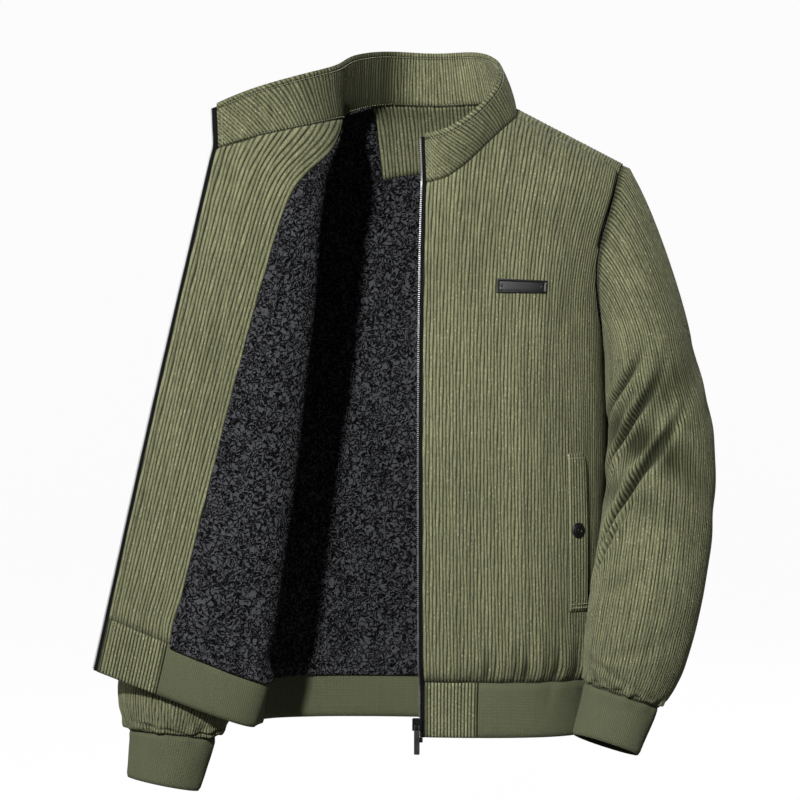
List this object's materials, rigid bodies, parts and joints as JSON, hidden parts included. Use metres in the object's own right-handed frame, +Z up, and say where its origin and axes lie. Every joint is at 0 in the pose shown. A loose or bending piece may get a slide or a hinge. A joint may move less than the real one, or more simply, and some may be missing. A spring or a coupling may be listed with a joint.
{
  "type": "corduroy zip jacket",
  "caption": "Hip-length corduroy jacket with stand collar, fleece lining and rib hem and cuffs, its right front turned back to show the inside.",
  "frame": {"origin": "middle of the neck opening, at the height where the shoulders meet the neck", "axes": "+Z up, the wearer looks along -Y, +X towards the wearer's left"},
  "size_m": [0.6811, 0.2467, 0.8283],
  "materials": {
    "corduroy": "olive corduroy, fine raised wales",
    "rib_knit": "olive rib knit",
    "fleece": "dark grey curly fleece",
    "zip_cloth": "black woven zip tape",
    "zip_metal": "dark gunmetal",
    "black_trim": "black, slightly glossy"
  },
  "bodies": {
    "jacket": {"front_left": "corduroy", "facing_left": "corduroy", "lining_left": "fleece", "front_right": "corduroy", "facing_right": "corduroy", "lining_right": "fleece", "back": "corduroy", "lining_back": "fleece", "neck_facing": "corduroy", "hem_tab_left": "corduroy", "hem_tab_right": "corduroy", "hem_rib": "rib_knit", "collar_outer": "corduroy", "collar_inner": "corduroy", "sleeve_left": "corduroy", "cuff_left": "rib_knit", "sleeve_right": "corduroy", "cuff_right": "rib_knit", "zip_tape_left": "zip_cloth", "zip_teeth_left": "zip_metal", "zip_tape_right": "zip_cloth", "zip_teeth_right": "zip_metal", "zip_slider": "zip_metal", "zip_box": "black_trim", "welt_left": "corduroy", "snap_left": "black_trim", "welt_right": "corduroy", "snap_right": "black_trim", "badge": "black_trim"},
    "pull_tab": {"zip_pull": "zip_metal"}
  },
  "joints": [
    {"name": "pull_swing", "type": "hinge", "parent": "jacket", "child": "pull_tab", "pos_m": [-0.0024, -0.107, -0.6552], "axis": [-1, 0, 0], "range_deg": [0, 165]}
  ]
}
